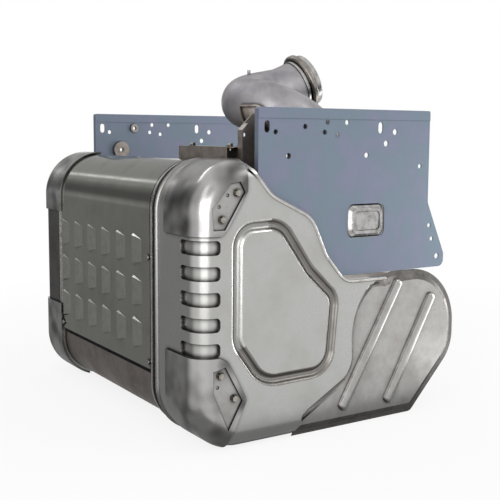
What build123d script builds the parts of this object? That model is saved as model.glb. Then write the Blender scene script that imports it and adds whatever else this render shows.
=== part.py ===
"""One-box diesel exhaust aftertreatment unit: pressed end caps, slotted side shield, two
mounting plates and a swan-neck inlet pipe, with the filter and the catalysts inside.

X runs across the end face, Y along the box from the near end to the far end, Z up.
The origin is the middle of the footprint, on the ground. Millimetres.
"""
import math
import os

from build123d import *

# Overall
half_width = 404.5
half_length = 479.0
box_height = 667.0
corner_proud = 5.5
x_left = corner_proud - half_width
fit_gap = 0.3

# Sheet thicknesses
cap_sheet = 2.0
wrap_sheet = 2.0
shield_sheet = 1.5
plate_sheet = 4.0
inner_sheet = 1.5
skin_gap = 8.0

# Section of the box: rounded left corners, sloping inboard shoulder, round lobe on the right
corner_r = 122.0
face_r = 45.0
slope_x = x_left + 133.0
slope_drop = 77.0
shoulder_drop = 132.0
lobe_r = 155.0
lobe_z = 226.0
lobe_top = lobe_z + lobe_r
valley_drop = 9.0
valley_x = 20.0
bank_x = valley_x - 60.0
step_x = 155.0
knee_z = 155.0
foot_x = 258.0

outline_points = [
    (x_left, 0.0),
    (x_left, box_height),
    (slope_x, box_height),
    (slope_x + 0.29 * (bank_x - slope_x), box_height - slope_drop),
    (slope_x + 0.80 * (bank_x - slope_x), box_height - shoulder_drop),
    (bank_x, lobe_top + 59.0),
    (valley_x, lobe_top - valley_drop),
    (step_x, lobe_top - valley_drop),
    (step_x + 28.0, lobe_top),
    (half_width, lobe_top),
    (half_width, knee_z),
    (foot_x, 0.0),
]
outline_radii = [corner_r, corner_r, 18.0, 90.0, 70.0, 80.0, 60.0, 20.0, 20.0, lobe_r, 110.0, 20.0]

# Edge where the end cap laps over the lobe cover, from the top down to the foot
seam_points = [
    (171.0, 1.05 * lobe_top),
    (44.0, 322.0),
    (50.0, 140.0),
    (-100.0, 55.0),
    (-136.0, -15.0),
]
seam_radii = [175.0, 70.0, 40.0]
seam_lap = 22.0

# End caps: skirts, rolled hem, and the round-shouldered groove that frames the panel
near_skirt = 196.0
far_skirt = 122.0
hem_r = 4.5
groove_left = x_left + 103.0
groove_points = [
    (groove_left, 250.0),
    (groove_left, box_height - 150.0),
    (x_left + 224.0, box_height - 146.0),
    (-92.0, 405.0),
    (-17.0, 335.0),
    (-32.0, 155.0),
    (x_left + 174.0, 152.0),
]
groove_radii = [60.0, 48.0, 60.0, 120.0, 45.0, 55.0, 80.0]
groove_r = 10.0
groove_depth = 10.0
groove_shoulder = 9.0

# Corner caps, drawn on the end face from the left side and from the top or the ground
upper_edge = box_height - 166.0
lower_edge = 225.0
far_left = x_left - 40.0
upper_cap_points = [(far_left, upper_edge), (x_left + 59.0, upper_edge), (x_left + 74.0, upper_edge + 14.0),
                    (x_left + 127.0, box_height - 67.0), (x_left + 127.0, box_height + 40.0),
                    (far_left, box_height + 40.0)]
upper_pad_points = [(x_left + x, box_height - drop) for x, drop in [
    (33.0, 105.0), (37.0, 153.0), (67.0, 153.0), (120.0, 69.0), (107.0, 45.0), (81.0, 49.0)]]
upper_bolts = [(x_left + 99.5, box_height - 70.0), (x_left + 60.5, box_height - 129.0)]
upper_holes = [(x_left + 74.5, box_height - 75.0), (x_left + 52.5, box_height - 100.0)]
upper_back = 152.0
lower_foot_x = x_left + corner_r - math.sqrt((corner_r + corner_proud) ** 2 - corner_r ** 2) - 2
lower_cap_points = [(far_left, lower_edge), (x_left + 54.0, lower_edge), (x_left + 77.0, lower_edge - 13.0),
                    (x_left + 127.0, 118.0), (lower_foot_x, 30.0), (lower_foot_x, -40.0), (far_left, -40.0)]
lower_pad_points = [(x_left + x, z) for x, z in [
    (37.0, 196.0), (69.0, 203.0), (115.0, 119.0), (77.0, 52.0), (37.0, 143.0)]]
lower_bolts = [(x_left + 56.5, 184.0), (x_left + 93.5, 127.0)]
lower_holes = [(x_left + 49.5, 158.0)]
lower_back = 147.0
pad_hole = 9.0

# Pressed slots that wrap the left edge between the corner caps
slot_count = 5
slot_height = 33.0
slot_low_z = lower_edge + 17.0
slot_high_z = upper_edge - 26.0
slot_depth = 8.0
slot_face_reach = 58.5
slot_side_reach = 81.0
slot_end_r = 11.0

# Lobe covers
lobe_flange = 12.0
lobe_slope = 14.0
lobe_rise = 11.0
rib_width = 24.0
rib_height = 8.0
rib_ends = [((195.5, 350.0), (22.0, 54.0)), ((312.0, 304.0), (170.0, 50.0))]

# Mounting plates, the same pressing at both ends
plate_inset = 16.0
near_plate_y = plate_inset - half_length
far_plate_y = half_length - plate_inset
plate_left = x_left + 167.5
plate_foot_x = half_width - 42.5
plate_right = plate_foot_x - 61.5
plate_top = box_height + 122.5
plate_waist_z = lobe_top + 172.0
plate_foot_z = lobe_top + 36.0
plate_lap = 22.0
plate_flange = 16.0
plate_flange_end = plate_top - 144.5
plate_hem = 25.0
plate_hem_rise = 1.2
plate_hole = 12.0
wide_hole = 13.5
big_hole = 15.0
plate_slot = (15.0, 28.0)
slot_places = [(plate_left + x, plate_top - 44.5) for x in (24.0, 365.0)]
small_holes = [(plate_left + x, plate_top - drop) for x, drop in [
    (48.0, 56.5), (132.0, 43.5), (190.0, 56.5), (198.0, 32.5), (228.0, 62.5), (258.0, 32.5)]]
small_holes += [(plate_right - 32.0, plate_top - 141.5), (plate_right + 7.0, lobe_top + 112.0),
                (plate_right + 17.0, lobe_top + 76.0)]
wide_holes = [(plate_left + x, plate_top - 112.0) for x in (85.0, 321.0)]
big_holes = [(plate_left + 413.0, plate_top - 54.5), (plate_left + 384.0, plate_top - 83.5),
             (plate_right + 37.0, lobe_top + 29.0)]
window_size = (118.0, 84.0)
window_at = (plate_left + 323.5, plate_top - 274.0)
window_r = 18.0
pad_rise = 6.0
boss_r = 26.0
boss_height = 12.0
ring_r = 13.0
ring_height = 8.0

# Side shield and what holds it
near_rim = 39.0
far_rim = 27.0
shield_near = near_skirt + near_rim - half_length
shield_far = half_length - far_skirt - far_rim
shield_foot = 154.0
shield_top_x = x_left + 107.0
louvre_columns = 6
louvre_rows = 3
louvre_first_y = shield_near + 67.0
louvre_pitch_y = (shield_far - 37.0 - louvre_first_y) / (louvre_columns - 1)
louvre_pitch_z = 105.0
louvre_mid_z = 337.0
louvre_height = 79.0
louvre_width = 44.0
louvre_slant = 12.0
louvre_rise = 6.0
louvre_lean = 35.0
rim_clear = 2.0
rim_lap = 24.0
rim_bead = 8.0
screw_inset = 8.0
screw_zs = [171.0, 430.0]

# Hexagon flange bolts
bolt_across_flats = 13.0
bolt_head = 6.0
bolt_washer_r = 9.0
bolt_washer = 2.0
shank_r = 4.0
shank_length = 9.0
screw_head = 5.0
screw_head_r = 6.5

# Inlet pipe: centre line from the clamp face through the swan neck down into the box
pipe_r = 63.5
pipe_wall = 2.0
leg_x = -8.0
leg_y = 99.0 - half_length
inlet_face = Vector(90.5, leg_y + 164.4, plate_top + 85.2)
inlet_dir = Vector(0.90, -0.156, 0.42).normalized()
neck_length = 90.0
neck_corners = [(-145.0, leg_y + 167.0, plate_top + 18.5), (-128.0, leg_y, plate_top + 2.5),
                (leg_x, leg_y, plate_top - 59.5)]
neck_radii = [110.0, 84.0, 84.0, 78.0]
lip_r = 68.5
lip_width = 15.0
socket_length = 42.0
socket_r = 66.0
collar_r = 76.5
collar_width = 17.0
stud_r = 4.0
stud_height = 9.0
stud_at = (-100.0, leg_y + 162.0, plate_top + 28.5)

# Support under the swan neck: flanged saddle, channel leg and foot
saddle_sheet = 3.0
saddle_rim = 9.0
saddle_near = leg_y - 20.0
saddle_far = leg_y + 46.0
saddle_low = plate_top - 99.5
saddle_high = plate_top + 8.0
saddle_corner = 22.0
saddle_right = -98.0
leg_sheet = 4.0
leg_depth = 20.0
leg_left = -235.0
leg_right = -140.0
leg_top = plate_top - 52.5
leg_hole = (leg_left + 16.0, leg_top - 11.0)
foot_near = leg_y - 30.0
foot_far = leg_y + 4.0
foot_left = leg_left - 15.0

# Rail along the top of the box
bracket_sheet = 3.0
bracket_top = box_height + 31.0
bracket_left = slope_x + 4.0
bracket_right = slope_x + 51.0
bracket_near = foot_far + 4.0
bracket_far = leg_y + 240.0
bracket_bolt_ys = [leg_y + 208.0, leg_y + 28.0]

# Outlet pipe, on the inboard side below the plates
outlet_r = 57.0
outlet_wall = 2.0
outlet_y = half_length - 107.0
outlet_z = lobe_top + 97.0
outlet_end_x = 60.0
outlet_flange_r = 66.0
outlet_flange_width = 10.0

# Inner pieces: filter line in the lobe, mixing pipe and two catalyst cans on the left
bulkhead_y = half_length - 179.0
can_stub = 12.0
wrap_step = slot_side_reach + cap_sheet + 1.0
inner_gap = skin_gap + wrap_sheet + fit_gap
divider_x = x_left + 274.0
filter_at = (half_width - 194.5, 185.0)
filter_r = 145.0
catalyst_length = 130.0
filter_length = 300.0
mat_thickness = 5.0
scr_r = 105.0
scr_x = x_left + 124.0
scr_zs = (145.0, box_height - 167.0)
scr_length = 360.0
duct_half = (scr_zs[1] - scr_zs[0]) / 2 - scr_r - 19.5
mixer_r = duct_half - 5.0
mixer_at = (divider_x - mixer_r - 7.0, (scr_zs[0] + scr_zs[1]) / 2)
duct_low, duct_high = mixer_at[1] - duct_half, mixer_at[1] + duct_half
duct_depth = 100.0
body_near = near_plate_y + plate_sheet
body_far = far_plate_y


def closed_face(points, radii, inset=0.0):
    """Face inside a closed outline with rounded corners, drawn in X and Z."""
    with BuildSketch() as face:
        with BuildLine():
            FilletPolyline(*points, radius=radii, close=True)
        make_face()
        if inset:
            offset(amount=-inset)
    return face.sketch


def box_face(inset=0.0):
    """Whole section of the box and its lobe."""
    return closed_face(outline_points, outline_radii, inset)


def seam_side(shift, side_x):
    """Everything on one side of the seam between end cap and lobe cover."""
    top, foot = seam_points[0], seam_points[-1]
    path = [(x + shift, z) for x, z in seam_points]
    with BuildSketch() as face:
        with BuildLine():
            edge = FilletPolyline(*path, radius=seam_radii)
            Polyline(edge @ 1, (side_x, foot[1] - 60), (side_x, box_height + 60),
                     (top[0] + shift, box_height + 60), edge @ 0)
        make_face()
    return face.sketch


def cap_face(inset=0.0):
    """Section of the end cap: the box section left of the seam."""
    with BuildSketch() as face:
        add(box_face())
        add(seam_side(0.0, x_left - 60), mode=Mode.INTERSECT)
        if inset:
            offset(amount=-inset)
    return face.sketch


def lobe_face(inset=0.0):
    """Section of the lobe cover: the box section right of the seam, with its lap."""
    with BuildSketch() as face:
        add(box_face())
        add(seam_side(-seam_lap, half_width + 60), mode=Mode.INTERSECT)
        if inset:
            offset(amount=-inset)
    return face.sketch


def prism(profile, y_from, y_to):
    """Solid with the given X and Z profile between two stations along the box."""
    with BuildPart() as body:
        with BuildSketch(Plane.XZ.offset(-y_from)):
            add(profile)
        extrude(amount=y_from - y_to)
    return body.part


def corner_block(inset, y_back):
    """Pressed end form: left corners rounded, front edge rounded, open run to the right."""
    left = x_left + inset
    right = step_x + 60
    with BuildPart() as block:
        with BuildSketch(Plane.XZ.offset(half_length - inset)):
            with BuildLine():
                rim = FilletPolyline((right, inset), (left, inset), (left, box_height - inset),
                                     (right, box_height - inset), radius=corner_r - inset)
                Line(rim @ 1, rim @ 0)
            make_face()
        extrude(amount=inset - half_length - y_back)
        front = block.faces().sort_by(Axis.Y)[0].edges()
        fillet(front.filter_by(lambda e: e.center().X < right - 1), radius=face_r - inset)
    return block.part


def groove_bar(radius):
    """Round bar along the closed groove line of the end cap."""
    with BuildPart() as bead:
        with BuildLine(Plane.XZ.offset(half_length - groove_depth + groove_r)):
            path = FilletPolyline(*groove_points, radius=groove_radii, close=True)
        with BuildSketch(Plane(origin=path @ 0, z_dir=path % 0)):
            Circle(radius)
        sweep()
    return bead.part


def groove_rims(flat_faces):
    """Both edge loops of the groove in the flat sheet at one station."""
    panel, *_, around = flat_faces.sort_by(SortBy.AREA)
    return panel.outer_wire().edges() + around.inner_wires()[0].edges()


def corner_slot(z, grow):
    """Block that wraps the rounded left edge for one pressed slot."""
    x_end = x_left + slot_face_reach + grow
    y_end = slot_side_reach + grow - half_length
    height = slot_height + 2 * grow
    with BuildPart() as block:
        with BuildSketch(Plane.XY.offset(z - height / 2)):
            with Locations(((x_left - 20 + x_end) / 2, (y_end - half_length - 20) / 2)):
                Rectangle(x_end - x_left + 20, y_end + half_length + 20)
        extrude(amount=height)
        ends = block.edges().filter_by(Axis.Y).group_by(Axis.X)[-1]
        fillet(ends, radius=slot_end_r + grow)
        sides = block.edges().filter_by(Axis.X).group_by(Axis.Y)[-1]
        fillet(sides, radius=slot_end_r + grow)
    return block.part


def hem_bead():
    """Rolled edge of the end cap along the sloping shoulder."""
    left, down = 3.0, 4.0
    with BuildPart() as bead:
        with BuildLine(Plane.XZ.offset(half_length - cap_sheet)):
            path = FilletPolyline(*[(x - left, z - down) for x, z in outline_points[2:8]],
                                  radius=outline_radii[3:7])
        with BuildSketch(Plane(origin=path @ 0, z_dir=path % 0)):
            Circle(hem_r)
        sweep()
    return bead.part


def end_cap(skirt, edge_back, lobe_front, slot_zs):
    """Deep-drawn end cap, built at the near end, its edge folded back to plate and lobe."""
    y_face = -half_length
    y_skirt = y_face + skirt
    with BuildPart() as cap:
        add(corner_block(0.0, y_skirt))
        add(corner_block(cap_sheet, y_skirt + 10), mode=Mode.SUBTRACT)
        add(groove_bar(groove_r + cap_sheet) & corner_block(0.0, y_skirt))
        inner_y = y_face + cap_sheet
        inner_flat = cap.faces().filter_by_position(Axis.Y, inner_y - 0.1, inner_y + 0.1)
        fillet(groove_rims(inner_flat), radius=groove_shoulder - cap_sheet)
        add(groove_bar(groove_r), mode=Mode.SUBTRACT)
        outer_flat = cap.faces().filter_by_position(Axis.Y, y_face - 0.1, y_face + 0.1)
        fillet(groove_rims(outer_flat), radius=groove_shoulder)
        for z in slot_zs:
            add(corner_slot(z, cap_sheet) & corner_block(0.0, y_skirt)
                - corner_block(slot_depth + cap_sheet, y_skirt + 10))
        add(prism(cap_face(), y_face, y_skirt), mode=Mode.INTERSECT)
        add((prism(cap_face(), y_face + cap_sheet, edge_back)
             - prism(cap_face(cap_sheet), y_face, edge_back)) & corner_block(0.0, y_skirt))
        add(prism(lobe_face(), lobe_front - fit_gap, edge_back) & corner_block(cap_sheet + fit_gap, y_skirt),
            mode=Mode.SUBTRACT)
        add(hem_bead() & corner_block(-hem_r, y_skirt))
        for z in slot_zs:
            add(corner_slot(z, 0.0) - corner_block(slot_depth, y_skirt + 10), mode=Mode.SUBTRACT)
        add(rods(upper_bolts + lower_bolts, shank_r + fit_gap, y_face - 1, y_face + 2 * cap_sheet),
            mode=Mode.SUBTRACT)
    return cap.part


def lobe_cover(back_y):
    """Pressed cover of the round lobe, built at the near end, with two diagonal ribs."""
    y_top = back_y - lobe_rise
    inner_slope = lobe_flange + lobe_slope
    crown_r = rib_width / 2 - 1
    with BuildPart() as cover:
        add(prism(lobe_face(), back_y - cap_sheet, back_y))
        with BuildSketch(Plane.XZ.offset(-(back_y - cap_sheet))):
            add(lobe_face(lobe_flange))
        with BuildSketch(Plane.XZ.offset(-y_top)):
            add(lobe_face(inner_slope))
        loft(ruled=True)
        for start, end in rib_ends:
            add(rib(start, end, rib_width, y_top - rib_height, back_y, crown_r))
        with BuildSketch(Plane.XZ.offset(-back_y)):
            add(lobe_face(lobe_flange + cap_sheet))
        with BuildSketch(Plane.XZ.offset(-(y_top + cap_sheet))):
            add(lobe_face(inner_slope + cap_sheet))
        loft(ruled=True, mode=Mode.SUBTRACT)
        for start, end in rib_ends:
            add(rib(start, end, rib_width - 4 * cap_sheet, y_top - rib_height + cap_sheet, back_y,
                    crown_r - 2 * cap_sheet), mode=Mode.SUBTRACT)
        add(prism(cap_face(), -half_length, back_y) - corner_block(cap_sheet + fit_gap, 0.0),
            mode=Mode.SUBTRACT)
    return cover.part


def rib(start, end, width, y_from, y_to, crown_r):
    """Straight pressed rib with round ends and a round crown."""
    run = Vector(*end) - Vector(*start)
    middle = (Vector(*end) + Vector(*start)) / 2
    with BuildPart() as bar:
        with BuildSketch(Plane.XZ.offset(-y_from)):
            with Locations((middle.X, middle.Y)):
                SlotCenterToCenter(run.length, width, rotation=math.degrees(math.atan2(run.Y, run.X)))
        extrude(amount=y_from - y_to)
        fillet(bar.faces().sort_by(Axis.Y)[0].edges(), radius=crown_r)
    return bar.part


def plain_face(points, inset=0.0):
    """Straight-sided face in X and Z."""
    with BuildSketch() as face:
        with BuildLine():
            Polyline(*points, close=True)
        make_face()
        if inset:
            offset(amount=-inset, kind=Kind.INTERSECTION)
    return face.sketch


def rods(places, radius, y_from, y_to):
    """Round bars along Y at the given X and Z places, for holes and shanks."""
    with BuildPart() as bars:
        with BuildSketch(Plane.XZ.offset(-y_from)):
            with Locations(*places):
                Circle(radius)
        extrude(amount=y_from - y_to)
    return bars.part


def corner_cap(outline, pad, holes, bolts, back):
    """Pressed guard over one rounded corner, with a sunk pad for its two bolts."""
    y_face = -half_length
    y_back = y_face + back
    y_front = y_face - 2 * corner_proud
    with BuildPart() as guard:
        add(corner_block(-corner_proud, y_back))
        add(prism(plain_face(outline), y_front, y_back), mode=Mode.INTERSECT)
        add(corner_block(cap_sheet - corner_proud, y_back)
            & prism(plain_face(outline, cap_sheet), y_front, y_back - cap_sheet), mode=Mode.SUBTRACT)
        add(prism(plain_face(pad, -cap_sheet), y_face - corner_proud, y_face)
            & corner_block(-corner_proud, y_back))
        add(prism(plain_face(pad), y_front, y_face - cap_sheet), mode=Mode.SUBTRACT)
        add(corner_block(0.0, y_back + 10), mode=Mode.SUBTRACT)
        add(rods(holes, pad_hole / 2, y_front, y_face + 1), mode=Mode.SUBTRACT)
        add(rods(bolts, shank_r + fit_gap, y_front, y_face + 1), mode=Mode.SUBTRACT)
    return guard.part


def flange_bolt():
    """Hexagon flange bolt standing on the XY plane, shank below."""
    with BuildPart() as bolt:
        with BuildSketch(Plane.XY.offset(-shank_length)):
            Circle(shank_r)
        extrude(amount=shank_length)
        with BuildSketch():
            Circle(bolt_washer_r)
        extrude(amount=bolt_washer)
        with BuildSketch(Plane.XY.offset(bolt_washer)):
            RegularPolygon(bolt_across_flats / 2, 6, major_radius=False)
        extrude(amount=bolt_head)
    return bolt.part


def bolt_row(places, y):
    """Bolts whose heads point to the near end, at X and Z places on the plane Y."""
    with BuildPart() as row:
        for x, z in places:
            add(flange_bolt().moved(Plane(origin=(x, y, z), z_dir=(0, -1, 0)).location))
    return row.part


def mirrored(shape):
    """The same piece at the far end."""
    with BuildPart() as other:
        add(shape)
        mirror(about=Plane.XZ, mode=Mode.REPLACE)
    return other.part


def rim_band(y_from, y_to, y_beads):
    """Rolled band around the whole section, under the cap's edge, with raised beads."""
    with BuildPart() as band:
        add(prism(box_face(cap_sheet + fit_gap), y_from, y_to))
        for y in y_beads:
            add(prism(box_face(0.5), y, y + rim_bead))
        add(prism(box_face(skin_gap), y_from - 1, y_to + 1), mode=Mode.SUBTRACT)
    return band.part


def mounting_plate(y_front):
    """Flanged plate that hangs the box from the frame, with its window and holes."""
    y_back = y_front + plate_sheet
    outline = [(plate_left, lobe_top + 1), (plate_left, plate_top), (plate_right, plate_top),
               (plate_right, plate_waist_z), (plate_foot_x, plate_foot_z), (plate_foot_x, lobe_top + 1)]
    radii = [0, 6, 6, 30, 20, 18]
    rims = closed_face(outline, radii) - closed_face(outline, radii, plate_sheet)
    hem = closed_face(outline, radii) & plain_face([
        (plate_left, plate_top - plate_hem), (plate_left, plate_top), (plate_right, plate_top),
        (plate_right, plate_top - plate_hem)])
    flange = rims & plain_face([
        (plate_left, plate_flange_end), (plate_left, plate_top), (plate_right, plate_top),
        (plate_right, plate_flange_end)])
    with BuildPart() as plate:
        add(prism(closed_face(outline, radii), y_front, y_back))
        add(prism(hem, y_front - plate_hem_rise, y_front))
        add(prism(flange, y_back, y_front + plate_flange))
        add(prism(box_face(plate_lap), y_front - 5, y_back + 5), mode=Mode.SUBTRACT)
        for places, size in ((small_holes, plate_hole), (wide_holes, wide_hole), (big_holes, big_hole)):
            add(rods(places, size / 2, y_front - 5, y_back + 5), mode=Mode.SUBTRACT)
        with BuildSketch(Plane.XZ.offset(5 - y_front)):
            with Locations(*slot_places):
                SlotOverall(plate_slot[1], plate_slot[0], rotation=90)
            with Locations(window_at):
                RectangleRounded(*window_size, window_r)
        extrude(amount=-plate_sheet - 10, mode=Mode.SUBTRACT)
    return plate.part


def window_pad(y_front):
    """Bright pressed pad seated in the plate's window, dished in front and hollow behind."""
    width, height = window_size
    with BuildPart() as pad:
        with BuildSketch(Plane.XZ.offset(pad_rise - y_front)):
            with Locations(window_at):
                RectangleRounded(width - 2 * fit_gap, height - 2 * fit_gap, window_r)
        extrude(amount=-plate_sheet - pad_rise)
        fillet(pad.faces().sort_by(Axis.Y)[0].edges(), radius=cap_sheet)
        with BuildSketch(Plane.XZ.offset(pad_rise - y_front)):
            with Locations(window_at):
                RectangleRounded(width - 22, height - 22, window_r - 4)
        extrude(amount=-cap_sheet, mode=Mode.SUBTRACT)
        with BuildSketch(Plane.XZ.offset(-y_front - plate_sheet)):
            with Locations(window_at):
                RectangleRounded(width - 10, height - 10, window_r - 4)
        extrude(amount=plate_sheet + pad_rise - 2 * cap_sheet - 0.5, mode=Mode.SUBTRACT)
    return pad.part


def plate_bosses(y_from, y_to, y_ring):
    """Spacer and weld ring on the inner side of a mounting plate."""
    ring_at = small_holes[1]
    with BuildPart() as bosses:
        add(rods([wide_holes[0]], boss_r, y_from, y_to))
        add(rods([wide_holes[0]], wide_hole / 2, y_from - 1, y_to + 1), mode=Mode.SUBTRACT)
        add(rods([ring_at], ring_r, min(y_ring), max(y_ring)))
        add(rods([ring_at], plate_hole / 2, min(y_ring) - 1, max(y_ring) + 1), mode=Mode.SUBTRACT)
    return bosses.part


def tube(at, radius, wall, y_from, y_to):
    """Straight round tube along Y."""
    with BuildPart() as can:
        add(rods([at], radius, y_from, y_to))
        add(rods([at], radius - wall, y_from - 1, y_to + 1), mode=Mode.SUBTRACT)
    return can.part


def swept(radius):
    """Round bar along the swan neck's centre line."""
    start = inlet_face - inlet_dir * (lip_width + cap_sheet)
    with BuildPart() as bar:
        with BuildLine():
            path = FilletPolyline(start, inlet_face - inlet_dir * neck_length, *neck_corners,
                                  (leg_x, leg_y, lobe_top - 60), radius=neck_radii)
        with BuildSketch(Plane(origin=path @ 0, z_dir=path % 0)):
            Circle(radius)
        sweep()
    return bar.part


def saddle_block(inset, x_left_side):
    """Block with one rounded corner that bounds the saddle, drawn from the left side."""
    near, far = saddle_near + inset, saddle_far - inset
    top = saddle_high - inset
    with BuildPart() as block:
        with BuildSketch(Plane.YZ.offset(x_left_side)):
            with BuildLine():
                FilletPolyline((far, saddle_low), (far, top), (near, top), (near, saddle_low),
                               radius=[0.0, 0.0, saddle_corner - inset, 0.0], close=True)
            make_face()
        extrude(amount=saddle_right - x_left_side)
    return block.part


def louvre():
    """Scoop of one louvre on the XY plane, open along its far edge, sloping to the near one."""
    reach, half = louvre_width / 2, louvre_height / 2
    with BuildPart() as scoop:
        with BuildSketch():
            with BuildLine():
                Polyline((-2 * reach, -half), (-reach, -half), (reach, louvre_slant - half),
                         (reach, half - louvre_slant), (-reach, half), (-2 * reach, half), close=True)
            make_face()
        extrude(amount=louvre_rise, taper=louvre_lean)
        with BuildSketch(Plane.XZ.offset(half)):
            with BuildLine():
                Polyline((-reach, 0), (-reach, louvre_rise), (reach, 0), close=True)
            make_face()
        extrude(amount=-louvre_height, mode=Mode.INTERSECT)
    return scoop.part


def clear_of_cap(wall):
    """Inner wall at the near end, taken back from the end cap's rounded corners."""
    return wall - (prism(cap_face(), -half_length, 0.0) - corner_block(slot_depth + cap_sheet + fit_gap, 0.0))


def inner_wall(strips, y_from, y_to):
    """Thin inner walls given as X and Z rectangles, trimmed to the inside of the skin."""
    with BuildSketch() as face:
        for x0, z0, x1, z1 in strips:
            add(plain_face([(x0, z0), (x1, z0), (x1, z1), (x0, z1)]))
        add(box_face(inner_gap), mode=Mode.INTERSECT)
    return prism(face.sketch, y_from, y_to)


# End caps and lobe covers
near_lobe_front = body_near - lobe_rise
far_lobe_front = -body_far - lobe_rise
all_bolts = upper_bolts + lower_bolts
slot_pitch = (slot_high_z - slot_low_z) / (slot_count - 1)
near_slots = [slot_low_z + i * slot_pitch for i in range(slot_count)]
with BuildPart() as near_end_cap:
    add(end_cap(near_skirt, near_plate_y, near_lobe_front, near_slots))
with BuildPart() as far_end_cap:
    add(mirrored(end_cap(far_skirt, -body_far - plate_sheet - fit_gap, far_lobe_front, [])))
with BuildPart() as near_lobe_cover:
    add(lobe_cover(body_near))
with BuildPart() as far_lobe_cover:
    add(mirrored(lobe_cover(-body_far)))

# Corner caps and their bolts
upper_guard = corner_cap(upper_cap_points, upper_pad_points, upper_holes, upper_bolts, upper_back)
lower_guard = corner_cap(lower_cap_points, lower_pad_points, lower_holes, lower_bolts, lower_back)
with BuildPart() as near_upper_corner_cap:
    add(upper_guard)
with BuildPart() as near_lower_corner_cap:
    add(lower_guard)
with BuildPart() as far_upper_corner_cap:
    add(mirrored(upper_guard))
with BuildPart() as far_lower_corner_cap:
    add(mirrored(lower_guard))
with BuildPart() as near_corner_bolts:
    add(bolt_row(all_bolts, -half_length - cap_sheet))
with BuildPart() as far_corner_bolts:
    add(mirrored(bolt_row(all_bolts, -half_length - cap_sheet)))

# Skin of the box with the two pipe openings
with BuildPart() as body_shell:
    add(prism(box_face(skin_gap), body_near, body_far))
    add(prism(box_face(skin_gap + wrap_sheet), body_near - 1, body_far + 1), mode=Mode.SUBTRACT)
    seam_foot = seam_points[3][0] - 20
    step_face = plain_face([(far_left, -50), (seam_foot, -50), (seam_foot, seam_points[3][1] + 65),
                            (slope_x, box_height - 2 * slope_drop), (slope_x + 12, box_height + 50),
                            (far_left, box_height + 50)])
    add(prism(step_face, -half_length, wrap_step - half_length), mode=Mode.SUBTRACT)
    add(prism(step_face, half_length - wrap_step, half_length), mode=Mode.SUBTRACT)
    with BuildSketch(Plane.XY.offset(lobe_top - 60)):
        with Locations((leg_x, leg_y)):
            Circle(pipe_r + fit_gap)
    extrude(amount=box_height - lobe_top, mode=Mode.SUBTRACT)
    with BuildSketch(Plane.YZ.offset(divider_x)):
        with Locations((outlet_y, outlet_z)):
            Circle(outlet_r + fit_gap)
    extrude(amount=2 * outlet_end_x - divider_x, mode=Mode.SUBTRACT)

# Rim bands between the caps and the shield
near_skirt_y = near_skirt - half_length
far_skirt_y = half_length - far_skirt
with BuildPart() as near_rim_band:
    add(rim_band(near_skirt_y - rim_lap, shield_near - rim_clear,
                 [near_skirt_y + rim_clear, shield_near - rim_clear - rim_bead]))
with BuildPart() as far_rim_band:
    add(rim_band(shield_far + rim_clear, far_skirt_y + rim_lap,
                 [shield_far + rim_clear, far_skirt_y - rim_clear - rim_bead]))
    with BuildSketch(Plane.YZ.offset(divider_x)):
        with Locations((outlet_y, outlet_z)):
            Circle(outlet_r + fit_gap)
    extrude(amount=2 * outlet_end_x - divider_x, mode=Mode.SUBTRACT)

# Slotted side shield, the mat behind it and its screws
shield_area = plain_face([(x_left - 20, shield_foot), (x_left + 60, shield_foot),
                          (x_left + 60, box_height - 60), (shield_top_x, box_height - 60),
                          (shield_top_x, box_height + 20), (x_left - 20, box_height + 20)])
mat_area = plain_face([(x_left - 20, shield_foot + 4), (x_left + 60, shield_foot + 4),
                       (x_left + 60, box_height - 60), (shield_top_x - 4, box_height - 60),
                       (shield_top_x - 4, box_height + 20), (x_left - 20, box_height + 20)])
louvre_mid_y = louvre_first_y + (louvre_columns - 1) / 2 * louvre_pitch_y
louvre_plane = Plane(origin=(x_left, louvre_mid_y, louvre_mid_z), x_dir=(0, -1, 0), z_dir=(-1, 0, 0))
side_plane = Plane(origin=(x_left, 0, 0), x_dir=(0, -1, 0), z_dir=(-1, 0, 0))
screw_spots = [(-y, z) for y in (shield_near + screw_inset, shield_far - screw_inset) for z in screw_zs]
with BuildPart() as side_shield:
    add(prism((box_face() - box_face(shield_sheet)) & shield_area, shield_near, shield_far))
    with Locations(louvre_plane):
        with GridLocations(louvre_pitch_y, louvre_pitch_z, louvre_columns, louvre_rows):
            add(louvre())
    with Locations(louvre_plane.offset(-shield_sheet)):
        with GridLocations(louvre_pitch_y, louvre_pitch_z, louvre_columns, louvre_rows):
            add(louvre(), mode=Mode.SUBTRACT)
    with BuildSketch(side_plane):
        with Locations(*screw_spots):
            Circle(shank_r + fit_gap)
    extrude(amount=-skin_gap, mode=Mode.SUBTRACT)
with BuildPart() as insulation_mat:
    add(prism((box_face(shield_sheet + fit_gap) - box_face(skin_gap - fit_gap)) & mat_area,
              shield_near + 4, shield_far - 4))
    with BuildSketch(side_plane):
        with Locations(*screw_spots):
            Circle(shank_r + fit_gap)
    extrude(amount=-skin_gap, mode=Mode.SUBTRACT)
with BuildPart() as shield_screws:
    with BuildSketch(side_plane):
        with Locations(*screw_spots):
            Circle(screw_head_r)
    extrude(amount=screw_head)
    with BuildSketch(side_plane):
        with Locations(*screw_spots):
            Circle(shank_r)
    extrude(amount=fit_gap - skin_gap)

# Mounting plates with their window pads and inner bosses
with BuildPart() as near_mounting_plate:
    add(mounting_plate(near_plate_y))
with BuildPart() as far_mounting_plate:
    add(mounting_plate(far_plate_y))
with BuildPart() as near_plate_pad:
    add(window_pad(near_plate_y))
with BuildPart() as far_plate_pad:
    add(window_pad(far_plate_y))
with BuildPart() as near_plate_bosses:
    add(plate_bosses(body_near, body_near + boss_height, (body_near, body_near + ring_height)))
with BuildPart() as far_plate_bosses:
    add(plate_bosses(body_far - boss_height, body_far, (body_far - ring_height, body_far)))

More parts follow.
